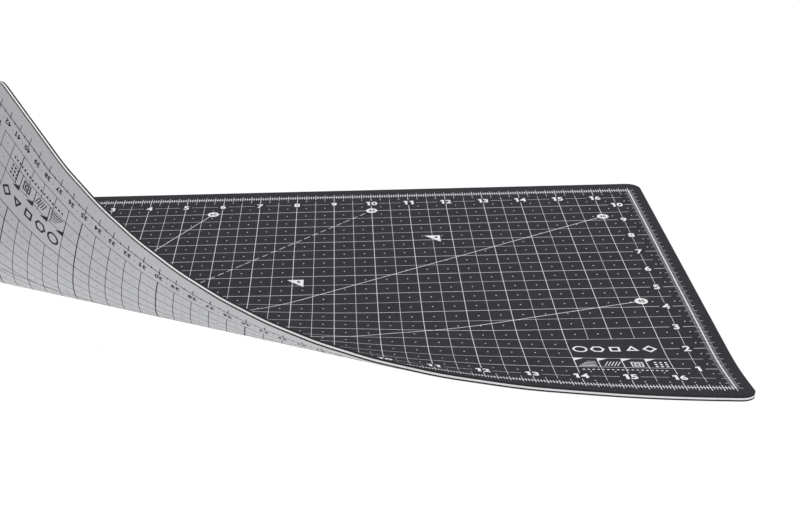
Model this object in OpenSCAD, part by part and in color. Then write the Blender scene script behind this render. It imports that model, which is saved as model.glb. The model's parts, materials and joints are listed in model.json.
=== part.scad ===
/* [Mat] */
// Length of the mat along its long edge
mat_w = 452; // [300:2:900]
// Width of the mat along its short edge
mat_d = 302; // [220:2:600]
// Radius of the four rounded corners
corner_r = 9; // [4:1:25]

/* [Plies] */
// Thickness of the charcoal working face
charcoal_t = 1.1; // [0.4:0.05:1.5]
// Thickness of the hard white core
core_t = 1; // [0.6:0.1:2.5]
// Thickness of the black backing ply
backing_t = 0.8; // [0.4:0.05:1.5]
// Thickness of the grey face on the underside
grey_t = 0.1; // [0.1:0.05:0.5]

/* [Curl] */
// Number of fold lines that stand for the bend
fold_count = 12; // [4:1:14]
// Turn at each fold line with the corner held up, in degrees
fold_step = 8.1; // [0:0.1:10]
// Slope of the middle fold line below the long edge, in degrees
fan_middle = 37.9; // [34:0.1:42]
// Even spread of the fold lines from first to last, in degrees
fan_spread = 30.6; // [20:0.1:36]
// Extra spread towards the first and last fold lines, in degrees
fan_opening = 40; // [0:1:80]
// Extra slope of the fold lines towards both ends of the bend, in degrees
fan_skew = 9.6; // [0:0.1:12]
// How much further ahead of the others the first fold line lies, in degrees
first_lead = 2.7; // [0:0.1:5]
// How far the point where the fold lines meet lies left of the mat's centre
apex_left = 298; // [250:1:320]
// How far that point lies behind the mat's centre
apex_back = 73; // [30:1:80]
// Gap between neighbouring strips of the bend
slit = 0.04; // [0.02:0.01:0.1]

/* [Hidden] */
$fn = 64;
mat_t = grey_t + backing_t + core_t + charcoal_t;
backing_z = grey_t;
core_z = backing_z + backing_t;
charcoal_z = core_z + core_t;
apex = [-apex_left, apex_back, mat_t];
reach = 4 * (mat_w + mat_d);

// Direction that is behind the whole mat, and one that is in front of it, seen from the apex
behind_mat = -80;
before_mat = 85;

function two_digits(k) = str(k < 10 ? "0" : "", k);
function node_name(ply, k) = k == 0 ? str("flat_", ply) : str("strip_", two_digits(k), "_", ply);
PLIES = ["grey_face", "black_backing", "white_core", "charcoal_face"];

// Slope of fold line k, counted from the flat part towards the corner: dense in the middle of
// the bend, open at both ends, and with the first line on its own where the bend sets in
function fold_slope(k) =
    let (s = (k - 0.5) / fold_count - 0.5, lead = k == 1 ? first_lead : 0)
    fan_middle + fan_spread * s + fan_skew * pow(s, 2) + fan_opening * pow(s, 3) - lead;
function strip_start(k) = k == 0 ? behind_mat : fold_slope(k);
function strip_end(k) = k == fold_count ? before_mat : fold_slope(k + 1);
function ray(slope) = reach * [cos(slope), -sin(slope)];

module outline() {
    inner_w = mat_w - 2 * corner_r;
    inner_d = mat_d - 2 * corner_r;
    square([mat_w, inner_d], center = true);
    square([inner_w, mat_d], center = true);
    for (x = [-1, 1], y = [-1, 1])
        translate([x * inner_w / 2, y * inner_d / 2]) circle(corner_r);
}

// The slit that keeps the strips on both sides of fold line k apart
module fold_slit(k) {
    rotate(-fold_slope(k)) translate([0, -slit / 2]) square([reach, slit]);
}

module strip_outline(k) {
    difference() {
        intersection() {
            outline();
            translate([-apex_left, apex_back])
                polygon([[0, 0], ray(strip_start(k)), ray(strip_end(k))]);
        }
        translate([-apex_left, apex_back]) {
            if (k > 0) fold_slit(k);
            if (k < fold_count) fold_slit(k + 1);
        }
    }
}

// Turns what follows about fold line k, which lies on the working face
module fold(k) {
    translate(apex) rotate([0, 0, -fold_slope(k)])
        rotate([-fold_step, 0, 0])
            rotate([0, 0, fold_slope(k)]) translate(-apex) children();
}

// Carries a strip through every fold between it and the flat part
module curl(k) {
    if (k > 0) curl(k - 1) fold(k) children();
    else children();
}

module ply(k, z, thickness) {
    curl(k) translate([0, 0, z]) linear_extrude(thickness) strip_outline(k);
}

module grey_face(k) {
    color("darkgray") ply(k, 0, grey_t);
}

module black_backing(k) {
    color([0.12, 0.12, 0.13]) ply(k, backing_z, backing_t);
}

module white_core(k) {
    color("white") ply(k, core_z, core_t);
}

module charcoal_face(k) {
    color([0.22, 0.22, 0.24]) ply(k, charcoal_z, charcoal_t);
}

for (k = [0 : fold_count]) {
    grey_face(k);
    black_backing(k);
    white_core(k);
    charcoal_face(k);
}
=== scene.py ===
"""Self-healing cutting mat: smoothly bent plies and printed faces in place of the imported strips."""
import json
import math
from functools import lru_cache

import bmesh
import bpy
import numpy as np
from mathutils import Matrix, Vector

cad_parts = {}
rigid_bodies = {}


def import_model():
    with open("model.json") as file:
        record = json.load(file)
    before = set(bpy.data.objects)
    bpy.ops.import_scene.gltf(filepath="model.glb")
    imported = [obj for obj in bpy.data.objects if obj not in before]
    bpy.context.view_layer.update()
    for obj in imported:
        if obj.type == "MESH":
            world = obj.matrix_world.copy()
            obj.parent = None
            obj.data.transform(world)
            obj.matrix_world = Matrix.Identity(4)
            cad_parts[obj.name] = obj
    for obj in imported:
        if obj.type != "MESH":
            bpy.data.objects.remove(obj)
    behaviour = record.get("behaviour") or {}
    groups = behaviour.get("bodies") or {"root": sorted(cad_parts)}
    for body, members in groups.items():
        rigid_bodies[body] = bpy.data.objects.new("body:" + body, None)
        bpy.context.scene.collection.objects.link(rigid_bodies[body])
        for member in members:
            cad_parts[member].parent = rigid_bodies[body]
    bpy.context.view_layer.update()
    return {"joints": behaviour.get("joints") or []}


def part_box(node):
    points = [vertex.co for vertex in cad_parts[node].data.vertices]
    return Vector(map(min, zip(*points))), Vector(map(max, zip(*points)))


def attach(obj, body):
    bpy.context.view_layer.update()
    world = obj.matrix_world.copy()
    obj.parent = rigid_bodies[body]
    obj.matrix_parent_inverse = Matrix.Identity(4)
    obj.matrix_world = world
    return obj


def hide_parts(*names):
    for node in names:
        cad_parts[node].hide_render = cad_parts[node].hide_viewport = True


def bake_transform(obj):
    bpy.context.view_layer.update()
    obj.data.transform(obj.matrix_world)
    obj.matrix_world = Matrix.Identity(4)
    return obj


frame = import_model()

# ---------------------------------------------------------------- sizes, in millimetres
MM = 0.001
INCH = 25.4
CM = 10.0
CORNER_R = 9.0         # rounded corners of the mat
EDGE_BREAK = 0.16      # worn edge of both faces
CORE_INSET = 0.05      # the core is cut a little inside the soft plies
INK_T = 0.05           # height of the print over its face
INK_LAYER = 0.004      # each kind of print lies this much over the one before
INK_SUNK = 0.01        # the print starts this far inside the face
PRINT_SHIFT = (1.0, -1.0)    # the printed grids are not quite centred on the mat
FAIRNESS = 0.5         # 0 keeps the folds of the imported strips, 1 is an even curve
FACETS = 6             # fewest facets across one fold
FACET_SPAN = math.radians(0.55)    # widest facet, seen from where the folds meet
RUNGS = 14             # rows of faces from one edge of the mat to the other
ARC_STEPS = 10         # steps round a rounded corner
LINE_PART = 20.0       # a printed line is cut into parts no longer than this
WELD = 0.002           # points of a ply closer than this become one
SHARP = math.radians(35)    # edges steeper than this stay sharp

PLIES = ("grey_face", "black_backing", "white_core", "charcoal_face")

# ---------------------------------------------------------------- the bend, from the frame
joints = frame["joints"]
STEP = -math.radians(joints[0]["range_deg"][0])
UP = np.array([0.0, 0.0, 1.0])


def rotation(axis, angle):
    """Matrix of a turn about an axis, as an array."""
    return np.array(Matrix.Rotation(angle, 3, Vector(axis)))


def read_folds():
    """Each strip's turn away from flat, and each fold line's slope on the flat mat."""
    turns, slopes = [np.eye(3)], []
    for joint in joints:
        axis = np.array(joint["axis"], float)
        flat = turns[-1].T @ axis
        slopes.append(math.atan2(flat[1], -flat[0]))
        turns.append(rotation(axis, STEP) @ turns[-1])
    return turns, np.array(slopes)


def common_point():
    """The point where all fold lines meet, in millimetres."""
    total, pull = np.zeros((3, 3)), np.zeros(3)
    for joint in joints:
        axis = np.array(joint["axis"], float)
        across = np.eye(3) - np.outer(axis, axis)
        total += across
        pull += across @ np.array(joint["pos_m"], float)
    return np.linalg.solve(total, pull) / MM


TURNS, SLOPES = read_folds()
APEX = common_point()
FOLDS = len(SLOPES)
HALF = np.diff(SLOPES) / 2
BORDERS = np.concatenate([[SLOPES[0] - HALF[0]], SLOPES[:-1] + HALF, [SLOPES[-1] + HALF[-1]]])


def ray(slope):
    """Unit vector of the flat mat that leaves the apex at a slope below +X."""
    return np.array([math.cos(slope), -math.sin(slope), 0.0])


def across_ray(slope):
    """Unit vector of the flat mat across a ray, towards steeper slopes."""
    return np.array([-math.sin(slope), -math.cos(slope), 0.0])


def smoothstep(t):
    t = np.clip(t, 0, 1)
    return t * t * (3 - 2 * t)


def bend_at_fold(k, rel):
    """Bends points near fold k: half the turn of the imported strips, half an even curve."""
    along, across = ray(SLOPES[k - 1]), across_ray(SLOPES[k - 1])
    before, after = TURNS[k - 1], TURNS[k]
    back = math.tan(SLOPES[k - 1] - BORDERS[k - 1])
    ahead = math.tan(BORDERS[k] - SLOPES[k - 1])
    length = (rel @ along)[:, None]
    offset = (rel @ across)[:, None] / length
    height = rel[:, 2:]
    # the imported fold, with its turn spread over the whole zone
    turn = STEP * smoothstep((offset + back) / (back + ahead))
    c, s = np.cos(turn), np.sin(turn)
    hinged = along * length + (across * c + UP * s) * offset * length
    hinged = (hinged + (UP * c - across * s) * height) @ before.T
    # an even curve from border to border, a parabola seen along the rays
    t = (back + offset) / (back + np.sqrt(back**2 + (ahead - back) * (back + offset)))
    start = along - (1 - t) ** 2 * back * across
    normal = (1 - t) * back * (before @ UP) + t * ahead * (after @ UP)
    normal /= np.linalg.norm(normal, axis=1)[:, None]
    even = length * (start @ before.T + t**2 * ahead * (after @ across)) + height * normal
    return hinged * (1 - FAIRNESS) + even * FAIRNESS


def slope_of(points):
    """Slope below +X at which each point of the flat mat is seen from the apex."""
    rel = points[:, :2] - APEX[:2]
    return np.arctan2(-rel[:, 1], rel[:, 0])


def bend(points):
    """Where points of the flat mat, in millimetres, are with the corner up, in metres."""
    rel = points - APEX
    zone = np.searchsorted(BORDERS, slope_of(points))
    out = rel.copy()
    beyond = zone > FOLDS
    out[beyond] = rel[beyond] @ TURNS[-1].T
    for k in range(1, FOLDS + 1):
        here = zone == k
        if here.any():
            out[here] = bend_at_fold(k, rel[here])
    return (out + APEX) * MM


# ---------------------------------------------------------------- outline and facets
flat_low, flat_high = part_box("flat_grey_face")
HALF_W, HALF_D = flat_high[0] / MM, flat_high[1] / MM
PLY_Z = {ply: [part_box("flat_" + ply)[i][2] / MM for i in (0, 1)] for ply in PLIES}
TOP = PLY_Z["charcoal_face"][1]


@lru_cache(maxsize=None)
def outline(inset):
    """Corner points of the mat's outline, drawn in by inset."""
    radius = CORNER_R - inset
    points = []
    for quarter, (sx, sy) in enumerate(((1, 1), (-1, 1), (-1, -1), (1, -1))):
        centre = np.array([sx * (HALF_W - CORNER_R), sy * (HALF_D - CORNER_R)])
        for i in range(ARC_STEPS + 1):
            a = math.pi / 2 * (quarter + i / ARC_STEPS)
            points.append(centre + radius * np.array([math.cos(a), math.sin(a)]))
    return np.array(points)


def span(inset, slope):
    """Where the ray at a slope enters and leaves the outline, or None."""
    rel = outline(inset) - APEX[:2]
    side = rel @ across_ray(slope)[:2]
    side[abs(side) < 1e-9] = 0
    far = rel @ ray(slope)[:2]
    side2, far2 = np.roll(side, -1), np.roll(far, -1)
    cut = (side * side2 <= 0) & (side != side2)
    if not cut.any():
        return None
    share = side[cut] / (side[cut] - side2[cut])
    hits = far[cut] + share * (far2[cut] - far[cut])
    return hits.min(), hits.max()


OUTLINE_SLOPES = slope_of(outline(0.0))


def fold_facets(k):
    """Slopes of the facet lines across fold k, its two borders included."""
    count = max(FACETS, math.ceil((BORDERS[k] - BORDERS[k - 1]) / FACET_SPAN))
    return list(np.linspace(BORDERS[k - 1], BORDERS[k], count + 1))


PAST_FOLDS = np.linspace(BORDERS[-1], OUTLINE_SLOPES.max(), 4 * FACETS)[:-1]
FACET_SLOPES = sorted({s for k in range(1, FOLDS + 1) for s in fold_facets(k)} | {*PAST_FOLDS})


def zone_slopes(zone):
    """Slopes of the straight lines that a zone's plies are built on."""
    low = OUTLINE_SLOPES.min() if zone == 0 else BORDERS[zone - 1]
    high = OUTLINE_SLOPES.max() if zone == FOLDS else BORDERS[zone]
    slopes = [low, high] + [s for s in OUTLINE_SLOPES if low < s < high]
    if zone:
        slopes += [s for s in FACET_SLOPES if low < s < high]
    else:
        slopes += list(np.linspace(low, high, 4 * FACETS))
    slopes = sorted(slopes)
    return [s for i, s in enumerate(slopes) if i == 0 or s - slopes[i - 1] > 1e-7]


# ---------------------------------------------------------------- pieces
def finish_piece(name, bm, zone, material):
    """Bends a flat mesh in millimetres; a piece of the flat zone goes to the body before the first
    fold, the others belong to no body.
    """
    uv = bm.loops.layers.uv.new("flat")
    for face in bm.faces:
        face.smooth = True
        for loop in face.loops:
            loop[uv].uv = (loop.vert.co.x * MM, loop.vert.co.y * MM)
    mesh = bpy.data.meshes.new(name)
    bm.to_mesh(mesh)
    bm.free()
    flat = np.array([v.co for v in mesh.vertices], float)
    mesh.vertices.foreach_set("co", bend(flat).astype(np.float32).ravel())
    mesh.materials.append(material)
    mesh.set_sharp_from_angle(angle=SHARP)
    mesh.update()
    piece = bpy.data.objects.new(name, mesh)
    bpy.context.scene.collection.objects.link(piece)
    if zone == 0:
        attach(piece, joints[0]["parent"])
    else:
        start, end = blend_span(zone)
        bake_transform(piece)
    return piece


def blend_span(k):
    """Two points across fold k, as far apart as its zone is wide where it leaves the mat."""
    slope = SLOPES[k - 1]
    far = span(0.0, slope)[1]
    before = TURNS[k - 1]
    on_fold = APEX + far * before @ ray(slope)
    middle = before @ (across_ray(slope) * math.cos(STEP / 2) + UP * math.sin(STEP / 2))
    start = on_fold - middle * far * math.tan(slope - BORDERS[k - 1])
    end = on_fold + middle * far * math.tan(BORDERS[k] - slope)
    return tuple(start * MM), tuple(end * MM)


def section(levels, slope):
    """Closed loop of a ply's cut along one ray: levels are (height, inset), bottom first."""
    whole = span(0.0, slope)
    middle = sum(whole) / 2
    spans = [span(inset, slope) or (middle, middle) for _, inset in levels]
    loop = [(r, levels[0][0]) for r in np.linspace(*spans[0], RUNGS + 1)]
    loop += [(spans[i][1], levels[i][0]) for i in range(1, len(levels) - 1)]
    loop += [(r, levels[-1][0]) for r in np.linspace(*spans[-1][::-1], RUNGS + 1)]
    loop += [(spans[i][0], levels[i][0]) for i in range(len(levels) - 2, 0, -1)]
    direction = ray(slope)
    return [(APEX[0] + r * direction[0], APEX[1] + r * direction[1], z) for r, z in loop]


def ply_levels(ply):
    """Heights of a ply's edge with their insets: the outer faces have a worn edge."""
    low, high = PLY_Z[ply]
    if ply == "charcoal_face":
        return ((low, 0.0), (high - EDGE_BREAK, 0.0), (high, EDGE_BREAK))
    if ply == "grey_face":
        return ((low, EDGE_BREAK), (low + EDGE_BREAK, 0.0), (high, 0.0))
    if ply == "white_core":
        return ((low, CORE_INSET), (high, CORE_INSET))
    return ((low, 0.0), (high, 0.0))


def add_ply(ply, zone, material):
    """One ply in one zone, in place of its imported strip."""
    bm = bmesh.new()
    levels = ply_levels(ply)
    rings = [[bm.verts.new(p) for p in section(levels, s)] for s in zone_slopes(zone)]
    count = len(rings[0])
    for ring, after in zip(rings, rings[1:]):
        for i in range(count):
            j = (i + 1) % count
            bm.faces.new((ring[i], ring[j], after[j], after[i]))
    bm.faces.new(rings[0][::-1])
    bm.faces.new(rings[-1])
    bmesh.ops.remove_doubles(bm, verts=bm.verts, dist=WELD)
    bmesh.ops.dissolve_degenerate(bm, edges=bm.edges, dist=WELD / 4)
    bmesh.ops.recalc_face_normals(bm, faces=bm.faces)
    piece = finish_piece(f"{ply}_{zone:02d}", bm, zone, material)
    strip = "flat_" if zone == 0 else f"strip_{zone:02d}_"
    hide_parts(strip + ply)


# ---------------------------------------------------------------- print: shapes on a face
class Face:
    """One printed face: shapes are drawn in its own units from the lower left of its grid.

    The clear field is a part without grid lines: its left, bottom, right and top.
    """

    def __init__(self, unit, columns, rows, under, field):
        self.unit, self.columns, self.rows, self.under = unit, columns, rows, under
        self.field = field
        self.shapes = {}

    def place(self, points):
        """Points in millimetres from the grid's lower left, moved onto the flat mat."""
        points = np.array(points, float)
        x = points[:, 0] - self.columns * self.unit / 2
        y = points[:, 1] - self.rows * self.unit / 2
        return np.stack([-x if self.under else x, y], 1) + PRINT_SHIFT

    def add(self, kind, points):
        """A convex shape of some kind of print, from points in millimetres."""
        self.shapes.setdefault(kind, []).append(self.place(points))

    def bar(self, kind, start, end, width):
        """A straight line, in grid units, cut into short lengths."""
        a, b = np.array(start, float) * self.unit, np.array(end, float) * self.unit
        length = np.linalg.norm(b - a)
        if length < 1e-6:
            return
        side = np.array([-(b - a)[1], (b - a)[0]]) / length * width / 2
        parts = max(1, math.ceil(length / LINE_PART))
        for i in range(parts):
            p, q = a + (b - a) * i / parts, a + (b - a) * (i + 1) / parts
            self.add(kind, [p - side, q - side, q + side, p + side])

    def broken_line(self, kind, start, end, width, gaps):
        """A line along X or Y that leaves out the stretches in gaps, all in grid units."""
        axis = 0 if start[1] == end[1] else 1
        at, stop = start[axis], end[axis]
        for low, high in sorted(gaps) + [(stop, stop)]:
            if high <= at:
                continue
            if low > at:
                p, q = list(start), list(start)
                p[axis], q[axis] = at, min(low, stop)
                self.bar(kind, p, q, width)
            at = high

    def disc(self, kind, centre, diameter, sides=10):
        """A filled dot in millimetres round a centre in grid units."""
        c, r = np.array(centre) * self.unit, diameter / 2
        turns = [2 * math.pi * i / sides for i in range(sides)]
        self.add(kind, [c + r * np.array([math.cos(a), math.sin(a)]) for a in turns])

    def loop(self, kind, centre, radius, sides, width, turned=0.0):
        """A regular outline in millimetres round a centre in grid units."""
        c = np.array(centre) * self.unit
        inner = radius - width / math.cos(math.pi / sides)
        turns = [turned + 2 * math.pi * i / sides for i in range(sides + 1)]
        spokes = [np.array([math.cos(a), math.sin(a)]) for a in turns]
        for u, v in zip(spokes, spokes[1:]):
            self.add(kind, [c + u * inner, c + v * inner, c + v * radius, c + u * radius])

    def number(self, kind, value, centre, height, wide=1.0):
        """A whole number round a centre in grid units, with its height in millimetres."""
        c = np.array(centre) * self.unit
        for triangle in number_triangles(value):
            self.add(kind, c + triangle * height * np.array([wide, 1.0]))


@lru_cache(maxsize=None)
def glyph_triangles(digit):
    """One digit as triangles, 1 high with its lower left at the origin, and its width."""
    if digit == "1":
        stem = ((0.27, 0), (0.53, 0), (0.53, 1), (0.27, 1))
        flag = ((0.1, 0.66), (0.27, 0.74), (0.27, 1), (0.1, 0.87))
        return [np.array(part) for part in (stem, flag)], 0.58
    data = bpy.data.curves.new("glyph", "FONT")
    data.body = digit
    data.resolution_u = 3
    data.offset = 0.03    # a little bolder
    glyph = bpy.data.objects.new("glyph", data)
    bpy.context.scene.collection.objects.link(glyph)
    deps = bpy.context.evaluated_depsgraph_get()
    mesh = bpy.data.meshes.new_from_object(glyph.evaluated_get(deps))
    mesh.calc_loop_triangles()
    corners = np.array([v.co.xy for v in mesh.vertices])
    triangles = [corners[list(t.vertices)] for t in mesh.loop_triangles]
    bpy.data.objects.remove(glyph)
    bpy.data.curves.remove(data)
    bpy.data.meshes.remove(mesh)
    low, high = corners.min(0), corners.max(0)
    tall = high[1] - low[1]
    return [(t - low) / tall for t in triangles], (high[0] - low[0]) / tall


@lru_cache(maxsize=None)
def number_triangles(value):
    """A whole number as triangles, 1 high and centred."""
    space = 0.1
    at, out = 0.0, []
    for digit in str(value):
        triangles, width = glyph_triangles(digit)
        out += [t + [at, 0] for t in triangles]
        at += width + space
    return [t - [(at - space) / 2, 0.5] for t in out]


# ---------------------------------------------------------------- print: cut at facets, made solid
LAYER_START = {"grid": 0, "numbers": 4, "guides": 5, "badges": 8}    # lowest layer of each print


def keep_side(polygon, slope, sign):
    """The part of a convex polygon on one side of a ray."""
    side = sign * ((polygon - APEX[:2]) @ across_ray(slope)[:2])
    out = []
    for i, here in enumerate(side):
        after = side[(i + 1) % len(side)]
        p, q = polygon[i], polygon[(i + 1) % len(side)]
        if here >= 0:
            out.append(p)
        if here * after < 0:
            out.append(p + (q - p) * here / (here - after))
    return np.array(out)


def by_zone(polygons):
    """Cuts polygons at every facet line and sorts them by zone."""
    zones = {}
    for polygon in polygons:
        slopes = slope_of(polygon)
        rest = polygon    # what is left beyond the last cut
        for slope in FACET_SLOPES:
            if slopes.min() < slope < slopes.max() and len(rest) > 2:
                store(zones, keep_side(rest, slope, -1))
                rest = keep_side(rest, slope, 1)
        store(zones, rest)
    return zones


def store(zones, polygon):
    """Adds a polygon to the zone that its middle lies in."""
    if len(polygon) < 3:
        return
    middle = slope_of(polygon.mean(0)[None, :])[0]
    zones.setdefault(min(np.searchsorted(BORDERS, middle), FOLDS), []).append(polygon)


def add_slab(bm, polygons, low, high):
    """Solid print: faces at both heights and walls round the outside."""
    corners, edges = {}, {}

    def corner(point, level):
        key = (round(point[0], 3), round(point[1], 3), level)
        if key not in corners:
            corners[key] = bm.verts.new((key[0], key[1], (low, high)[level]))
        return corners[key]

    for polygon in polygons:
        x, y = polygon[:, 0], polygon[:, 1]
        if np.dot(x, np.roll(y, -1)) < np.dot(y, np.roll(x, -1)):
            polygon = polygon[::-1]
        keys = []
        for p in polygon:
            key = (round(p[0], 3), round(p[1], 3))
            if not keys or (key != keys[-1] and key != keys[0]):
                keys.append(key)
        if len(keys) < 3:
            continue
        for level, order in ((0, keys[::-1]), (1, keys)):
            verts = [corner(k, level) for k in order]
            if bm.faces.get(verts) is None:
                bm.faces.new(verts)
        for a, b in zip(keys, keys[1:] + keys[:1]):
            if (b, a) in edges:
                del edges[(b, a)]
            else:
                edges[(a, b)] = True
    for a, b in edges:
        wall = (corner(a, 0), corner(b, 0), corner(b, 1), corner(a, 1))
        if bm.faces.get(wall) is None:
            bm.faces.new(wall)


def add_print(face, label, kinds, material):
    """One piece of print in each zone from the shapes of some kinds."""
    meshes = {}
    for layer, kind in enumerate(kinds, LAYER_START[label.split("_")[-1]]):
        height = INK_T + INK_LAYER * layer
        for zone, polygons in by_zone(face.shapes.get(kind, [])).items():
            bm = meshes.setdefault(zone, bmesh.new())
            if face.under:
                add_slab(bm, polygons, -height, INK_SUNK)
            else:
                add_slab(bm, polygons, TOP - INK_SUNK, TOP + height)
    for zone, bm in sorted(meshes.items()):
        finish_piece(f"{label}_{zone:02d}", bm, zone, material)


# ---------------------------------------------------------------- print: parts of both faces
DASH, DASH_STEP = 4.8, 7.4    # a broken line's dashes, in millimetres
BADGE_SIDES = 28
SHEETS = (((297, 210), 4), ((210, 148), 5))    # standard sheets, with the digit on their flag
FLAG_LEG = 10.0


def tick(face, along_x, at, edge, outside, inside, width):
    """A tick across a border line; outside and inside are lengths in millimetres."""
    size = face.rows if along_x else face.columns
    sign = -1 if edge == 0 else 1
    base = 0 if edge == 0 else size
    ends = [base + sign * outside / face.unit, base - sign * inside / face.unit]
    points = [(at, e) if along_x else (e, at) for e in ends]
    face.bar("ticks", points[0], points[1], width)


def border(face, long_width, short_width):
    """The frame of the grid: its long sides and its short sides."""
    w, h = face.columns, face.rows
    over = short_width / 2 / face.unit
    for y in (0, h):
        face.bar("border", (-over, y), (w + over, y), long_width)
    for x in (0, w):
        face.bar("border", (x, 0), (x, h), short_width)


def dots(face, spacing, diameter, sides, clear_bottom):
    """A dot in the middle of each square, except on the clear field and the marks below it."""
    left, _, right, top = face.field
    for i in range(round(face.columns / spacing)):
        for j in range(round(face.rows / spacing)):
            x, y = (i + 0.5) * spacing, (j + 0.5) * spacing
            if not (left < x < right and clear_bottom < y < top):
                face.disc("dots", (x, y), diameter, sides)


def edge_numbers(face, inset, height, wide):
    """The grid's numbers, along all four sides."""
    w, h = face.columns, face.rows
    for x in range(1, w):
        for y in (inset, h - inset):
            face.number("numbers", x, (x, y), height, wide)
    for y in range(1, h):
        for x in (inset, w - inset):
            face.number("numbers", y, (x, y), height, wide)


def dashed_line(face, kind, direction, length, width):
    """Dashes from the grid's corner; the length is in grid units."""
    at = 0.0
    while at < length:
        stop = min(at + DASH / face.unit, length)
        face.bar(kind, direction * at, direction * stop, width)
        at += DASH_STEP / face.unit


def angle_guides(face, guides, width, badge, digits):
    """Lines from the grid's corner to a round badge that holds their angle."""
    for angle, reach_x, dashed in guides:
        end = np.array([reach_x, reach_x * math.tan(math.radians(angle))])
        length = np.linalg.norm(end) - badge / 2 / face.unit
        direction = end / np.linalg.norm(end)
        if dashed:
            dashed_line(face, "guides", direction, length, width)
        else:
            face.bar("guides", (0, 0), direction * length, width)
        face.disc("badges", end, badge, BADGE_SIDES)
        face.number("badge_numbers", angle, end, digits, 0.95)


def paper_corners(face):
    """A filled triangle at the far corner of each sheet laid on the grid's corner."""
    for size, digit in SHEETS:
        corner = np.array(size, float)
        face.add("numbers", [corner - [FLAG_LEG, 0], corner - [0, FLAG_LEG], corner])
        place = (corner - [0.29 * FLAG_LEG, 0.3 * FLAG_LEG]) / face.unit
        face.number("badge_numbers", digit, place, 0.32 * FLAG_LEG, 1.1)


def shape_guide(face, corner, width, height, line):
    """A row of plain outlines to trace, in the clear field of the grid."""
    outlines = ((32, 0), (6, 0), (4, math.pi / 4), (3, math.pi / 2), (4, 0))    # sides, turn
    step = width / len(outlines)
    radius = min(height, step) * face.unit * 0.43
    y = corner[1] + height / 2
    for i, (sides, turned) in enumerate(outlines):
        face.loop("numbers", (corner[0] + step * (i + 0.5), y), radius, sides, line, turned)


def dash_row(face, start, step, dash, width, count=18):
    """A row of dashes below the swatches."""
    for i in range(count):
        x = start[0] + i * step
        face.bar("numbers", (x, start[1]), (x + dash, start[1]), width)


# ---------------------------------------------------------------- print: swatches
def swatch_frames(face, x0, y0, size, line, count=4):
    """The left side of each swatch, with a small flag at its top."""
    for i in range(count):
        x, top = x0 + i * size, y0 + size
        face.bar("numbers", (x, y0), (x, top), line)
        flag = ((x, top), (x, top - size * 0.3), (x + size * 0.45, top))
        face.add("numbers", np.array(flag) * face.unit)


def bars_swatch(face, x0, y0, size, line):
    for i in range(4):
        y = y0 + size * (0.14 + 0.16 * i)
        start = x0 + size * (0.15 + 0.12 * i)
        face.bar("numbers", (start, y), (x0 + size * 0.88, y), line * (1.6 - 0.3 * i))


def hatch_swatch(face, x0, y0, size, line):
    for i in range(5):
        x = x0 + size * (0.2 + 0.13 * i)
        face.bar("numbers", (x, y0 + size * 0.15), (x + size * 0.2, y0 + size * 0.62), line)


def squares_swatch(face, x0, y0, size, line):
    middle = (x0 + size * 0.58, y0 + size * 0.38)
    for radius in (0.36, 0.18):
        face.loop("numbers", middle, radius * size * face.unit, 4, line * 1.6, math.pi / 4)


def dots_swatch(face, x0, y0, size):
    for i in range(9):
        spot = (x0 + size * (0.36 + 0.22 * (i % 3)), y0 + size * (0.17 + 0.22 * (i // 3)))
        face.disc("numbers", spot, size * face.unit * 0.13)


def swatches(face, x0, y0, size, line):
    """Four small squares with plain patterns: bars, hatching, squares and dots."""
    swatch_frames(face, x0, y0, size, line)
    bars_swatch(face, x0, y0, size, line)
    hatch_swatch(face, x0 + size, y0, size, line)
    squares_swatch(face, x0 + 2 * size, y0, size, line)
    dots_swatch(face, x0 + 3 * size, y0, size)


# ---------------------------------------------------------------- print: charcoal face, in inches
WHOLE_LINE, HALF_LINE = 0.32, 0.21    # line widths, in millimetres
HALF_LINE_SHORT = 0.27                # lines at half inches end this far from the border
INCH_NUMBERS = 0.5                    # the numbers' distance from the border
DIGIT_HALF_HEIGHT = 0.17              # half the gap that a line leaves for a number
DIGIT_HALF_WIDTH = {1: 0.15, 2: 0.21}


def gap(centre, half):
    return centre - half, centre + half


def inch_lines(face, kind, half_gap):
    """Lines every half inch, broken at the numbers and the clear field.

    Kind "lines" runs from front to back and "rows" from side to side. Half_gap gives half the
    gap that a line of this kind leaves for a number.
    """
    left, bottom, right, top = face.field
    across, along, beside, field_gap = face.columns, face.rows, (left, right), (bottom, top)
    if kind == "rows":
        across, along, beside, field_gap = along, across, field_gap, beside
    for i in range(1, 2 * across):
        at, short, width = i / 2, 0.0, WHOLE_LINE
        gaps = [gap(end, half_gap(at)) for end in (INCH_NUMBERS, along - INCH_NUMBERS)]
        if i % 2:
            short, width, gaps = HALF_LINE_SHORT, HALF_LINE, []
        if i in (1, 2 * across - 1):
            gaps = [gap(value, half_gap(value)) for value in range(1, along)]
        if beside[0] < at < beside[1]:
            gaps = gaps + [field_gap]
        ends = ((at, short), (at, along - short))
        start, stop = [end[::-1] for end in ends] if kind == "rows" else ends
        face.broken_line(kind, start, stop, width, gaps)


def inch_ticks(face):
    """Sixteen ticks to the inch, every fourth one longer."""
    for size, along_x, width in ((face.columns, True, 0.38), (face.rows, False, 0.2)):
        for i in range(size * 16 + 1):
            length = 3.8 if i % 4 == 0 else 2.2
            for edge in (0, 1):
                tick(face, along_x, i / 16, edge, length, length, width)


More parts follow.
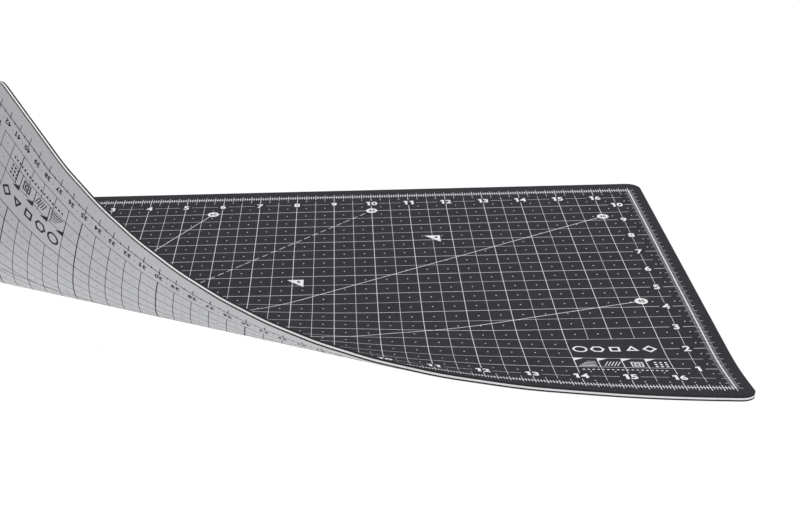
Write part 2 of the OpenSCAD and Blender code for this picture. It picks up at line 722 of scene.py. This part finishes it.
def charcoal_print():
    face = Face(INCH, 17, 11, under=False, field=(14, 1.5, 16, 2.5))
    left, bottom = face.field[:2]
    border(face, 0.45, 0.7)
    inch_ticks(face)
    inch_lines(face, "lines", lambda value: DIGIT_HALF_HEIGHT)
    inch_lines(face, "rows", lambda value: DIGIT_HALF_WIDTH[1 if value <= 9 else 2])
    dots(face, 0.5, 0.85, 8, bottom - 0.5)
    edge_numbers(face, INCH_NUMBERS, 6.2, 1.0)
    guides = ((15, 16, False), (30, 16, False), (45, 10, True), (60, 5.77, False))
    angle_guides(face, guides, 0.42, 7.6, 3.3)
    paper_corners(face)
    shape_guide(face, (left + 0.05, bottom + 0.2), 1.85, 0.6, 1.1)
    swatches(face, left, bottom - 0.5, 0.5, 0.45)
    dash_row(face, (left + 0.1, 0.86), 0.1, 0.05, 0.9)
    return face


# ---------------------------------------------------------------- print: grey face, in centimetres
FINE_LINE, STRONG_LINE, STRONG_ROW = 0.33, 0.62, 0.496    # line widths, in millimetres


def centimetre_lines(face):
    """Lines every centimetre, every fifth one strong, broken at the clear field."""
    w, h = face.columns, face.rows
    left, bottom, right, top = face.field
    for x in range(1, w):
        gaps = [(bottom, top)] if left < x < right else []
        width = STRONG_LINE if x % 5 == 0 else FINE_LINE
        face.broken_line("lines", (x, 1), (x, h - 1), width, gaps)
    for y in range(1, h):
        gaps = [(left, right)] if bottom < y < top else []
        width = STRONG_ROW if y % 5 == 0 else FINE_LINE
        face.broken_line("rows", (1, y), (w - 1, y), width, gaps)


def centimetre_ticks(face):
    """A long tick at each centimetre and a short one at each half."""
    for size, along_x in ((face.columns, True), (face.rows, False)):
        for i in range(size * 2 + 1):
            outside = 3.8 if i % 2 == 0 else 0.9
            inside = 3.0 if i % 10 == 0 else 0.9
            for edge in (0, 1):
                tick(face, along_x, i / 2, edge, outside, inside, 0.42)


def grey_print():
    face = Face(CM, 43, 28, under=True, field=(36, 3, 41, 5))
    left, bottom = face.field[:2]
    border(face, 0.46, 0.46)
    centimetre_ticks(face)
    centimetre_lines(face)
    dots(face, 1, 0.6, 6, bottom - 1)
    edge_numbers(face, 0.44, 3.2, 1.1)
    guides = ((15, 41, False), (30, 41, False), (45, 25, True), (60, 14.4, False))
    angle_guides(face, guides, 0.46, 8.0, 3.4)
    paper_corners(face)
    shape_guide(face, (left + 0.1, bottom + 0.3), 4.8, 1.4, 1.2)
    swatches(face, left, bottom - 1, 1.2, 0.5)
    dash_row(face, (left + 0.3, 1.65), 0.25, 0.12, 1.3)
    return face


# ---------------------------------------------------------------- materials
class Nodes:
    """Short ways to build a node material whose patterns lie on the flat mat."""

    def __init__(self, name):
        self.material = bpy.data.materials.new(name)
        self.material.use_nodes = True
        self.tree = self.material.node_tree
        self.shader = self.tree.nodes["Principled BSDF"]
        self.flat = self.tree.nodes.new("ShaderNodeUVMap")
        self.flat.uv_map = "flat"

    def link(self, source, target):
        self.tree.links.new(source, target)

    def noise(self, scale, detail=3.0, roughness=0.55):
        node = self.tree.nodes.new("ShaderNodeTexNoise")
        node.inputs["Scale"].default_value = scale
        node.inputs["Detail"].default_value = detail
        node.inputs["Roughness"].default_value = roughness
        self.link(self.flat.outputs["UV"], node.inputs["Vector"])
        return node.outputs["Fac"]

    def ramp(self, source, *stops):
        node = self.tree.nodes.new("ShaderNodeValToRGB")
        node.color_ramp.elements[0].position = stops[0][0]
        node.color_ramp.elements[1].position = stops[-1][0]
        for _ in stops[1:-1]:
            node.color_ramp.elements.new(0.5)
        for element, (place, colour) in zip(node.color_ramp.elements, stops):
            element.position = place
            element.color = colour if isinstance(colour, tuple) else (colour, colour, colour, 1)
        self.link(source, node.inputs["Fac"])
        return node.outputs["Color"]

    def mix(self, blend, factor, a, b):
        node = self.tree.nodes.new("ShaderNodeMix")
        node.data_type = "RGBA"
        node.blend_type = blend
        for socket, value in ((node.inputs["Factor"], factor), (node.inputs[6], a),
                              (node.inputs[7], b)):
            if isinstance(value, (int, float, tuple)):
                socket.default_value = value
            else:
                self.link(value, socket)
        return node.outputs[2]

    def bump(self, height, strength, distance):
        node = self.tree.nodes.new("ShaderNodeBump")
        node.inputs["Strength"].default_value = strength
        node.inputs["Distance"].default_value = distance
        self.link(height, node.inputs["Height"])
        self.link(node.outputs["Normal"], self.shader.inputs["Normal"])


def tint(colour, k):
    """A colour made lighter or darker."""
    return tuple(min(1.0, c * k) for c in colour[:3]) + (1.0,)


GRAIN, CLOUDS, DUST, GLOSS = 2600.0, 14.0, 900.0, 55.0    # vinyl's patterns, per metre
THIN_INK, INK_GLOSS = 1400.0, 300.0                       # ink's patterns, per metre


def pvc(name, colour, grain, rough, speckle):
    """Soft vinyl with a fine grain, cloudy colour and slightly uneven gloss."""
    n = Nodes(name)
    fine = n.noise(GRAIN, 2.0, 0.6)
    cloud = n.noise(CLOUDS, 3.0, 0.5)
    base = n.ramp(cloud, (0.3, tint(colour, 0.955)), (0.7, tint(colour, 1.045)))
    dust = n.ramp(n.noise(DUST, 2.0, 0.7), (0.35, 1 - speckle), (0.65, 1.0))
    n.link(n.mix("MULTIPLY", 1.0, base, dust), n.shader.inputs["Base Color"])
    gloss = n.ramp(n.noise(GLOSS, 4.0, 0.65), (0.3, rough - 0.05), (0.7, rough + 0.05))
    n.link(gloss, n.shader.inputs["Roughness"])
    n.shader.inputs["Specular IOR Level"].default_value = 0.2
    n.bump(fine, grain, 0.00006)
    return n.material


def ink(name, colour, rough, worn):
    """Screen-printed ink: a little thinner in places, over the vinyl's grain."""
    n = Nodes(name)
    wear = n.noise(THIN_INK, 3.0, 0.7)
    thin = n.ramp(wear, (0.3, tint(colour, worn)), (0.55, tint(colour, 1.0)))
    n.link(thin, n.shader.inputs["Base Color"])
    gloss = n.ramp(n.noise(INK_GLOSS, 2.0, 0.5), (0.3, rough - 0.06), (0.7, rough + 0.06))
    n.link(gloss, n.shader.inputs["Roughness"])
    n.shader.inputs["Specular IOR Level"].default_value = 0.15
    n.bump(n.noise(GRAIN, 2.0, 0.6), 0.15, 0.00004)
    return n.material


CHARCOAL = pvc("charcoal vinyl", (0.0215, 0.0225, 0.029), 0.35, 0.70, 0.10)
GREY = pvc("grey vinyl", (0.55, 0.555, 0.575), 0.25, 0.65, 0.05)
BACKING = pvc("black vinyl", (0.022, 0.022, 0.025), 0.30, 0.70, 0.10)
CORE = pvc("white core", (0.88, 0.88, 0.88), 0.12, 0.60, 0.03)
WHITE_INK = ink("white ink", (0.93, 0.93, 0.95), 0.60, 0.9)
BLACK_INK = ink("black ink", (0.012, 0.012, 0.014), 0.60, 1.6)

# ---------------------------------------------------------------- the mat
for ply_name, ply_material in zip(PLIES, (GREY, BACKING, CORE, CHARCOAL)):
    for zone_number in range(FOLDS + 1):
        add_ply(ply_name, zone_number, ply_material)

GRID = ("rows", "lines", "ticks", "border")
upper, lower = charcoal_print(), grey_print()
add_print(upper, "white_grid", GRID, WHITE_INK)
add_print(upper, "white_numbers", ("dots", "numbers"), WHITE_INK)
add_print(upper, "white_guides", ("guides", "badges"), WHITE_INK)
add_print(upper, "dark_badges", ("badge_numbers",), BLACK_INK)
add_print(lower, "black_grid", GRID, BLACK_INK)
add_print(lower, "black_numbers", ("dots", "numbers"), BLACK_INK)
add_print(lower, "black_guides", ("guides", "badges"), BLACK_INK)
add_print(lower, "grey_badges", ("badge_numbers",), GREY)

# ---------------------------------------------------------------- floor, light and camera
FLOOR_HALF = 100.0             # so wide that its end isn't seen
FLOOR_Z = -0.0001              # just under the mat
CAMERA_PLACE = (0.02293, -0.7468, 0.3636)
CAMERA_DOWN, CAMERA_LEFT, CAMERA_ROLL = 24.799, 1.436, -1.951    # degrees
SENSOR, LENS, SHIFT = 36.0, 61.886, 0.1029


def floor_material():
    """Pale and almost evenly bright, as a lit studio floor that leaves only faint shadows."""
    material = bpy.data.materials.new("pale floor")
    material.use_nodes = True
    shader = material.node_tree.nodes["Principled BSDF"]
    shader.inputs["Base Color"].default_value = (0.06, 0.06, 0.06, 1)
    shader.inputs["Roughness"].default_value = 0.9
    shader.inputs["Specular IOR Level"].default_value = 0.0
    shader.inputs["Emission Color"].default_value = (1, 1, 1, 1)
    shader.inputs["Emission Strength"].default_value = 0.97
    return material


def add_floor():
    corners = ((-1, -1), (1, -1), (1, 1), (-1, 1))
    mesh = bpy.data.meshes.new("floor")
    points = [(x * FLOOR_HALF, y * FLOOR_HALF, FLOOR_Z) for x, y in corners]
    mesh.from_pydata(points, [], [(0, 1, 2, 3)])
    mesh.materials.append(floor_material())
    floor = bpy.data.objects.new("floor", mesh)
    bpy.context.scene.collection.objects.link(floor)


def soft_light(name, place, target, size, power):
    """A square lamp that shines from a place at a target and isn't seen itself."""
    data = bpy.data.lights.new(name, "AREA")
    data.shape = "SQUARE"
    data.size = size
    data.energy = power
    lamp = bpy.data.objects.new(name, data)
    lamp.location = place
    aim = Vector(target) - Vector(place)
    lamp.rotation_euler = aim.to_track_quat("-Z", "Y").to_euler()
    lamp.visible_camera = False
    bpy.context.scene.collection.objects.link(lamp)


def white_world(strength):
    world = bpy.data.worlds.new("studio")
    world.use_nodes = True
    background = world.node_tree.nodes["Background"]
    background.inputs["Color"].default_value = (1, 1, 1, 1)
    background.inputs["Strength"].default_value = strength
    bpy.context.scene.world = world


def add_camera():
    data = bpy.data.cameras.new("camera")
    data.sensor_width = SENSOR
    data.lens = LENS
    data.shift_x = SHIFT
    camera = bpy.data.objects.new("camera", data)
    level = Matrix.Rotation(math.radians(CAMERA_LEFT), 4, "Z")
    down = Matrix.Rotation(math.radians(90 - CAMERA_DOWN), 4, "X")
    roll = Matrix.Rotation(math.radians(CAMERA_ROLL), 4, "Z")
    camera.matrix_world = Matrix.Translation(CAMERA_PLACE) @ level @ down @ roll
    bpy.context.scene.collection.objects.link(camera)
    bpy.context.scene.camera = camera


add_floor()
soft_light("overhead", (0.3, 0.8, 2.0), (0, 0, 0), 2.4, 34)
soft_light("front fill", (1.3, -2.0, 0.7), (0, 0, 0.05), 1.8, 14)
white_world(0.38)
bpy.context.scene.view_settings.view_transform = "Standard"
add_camera()

bpy.context.view_layer.update()
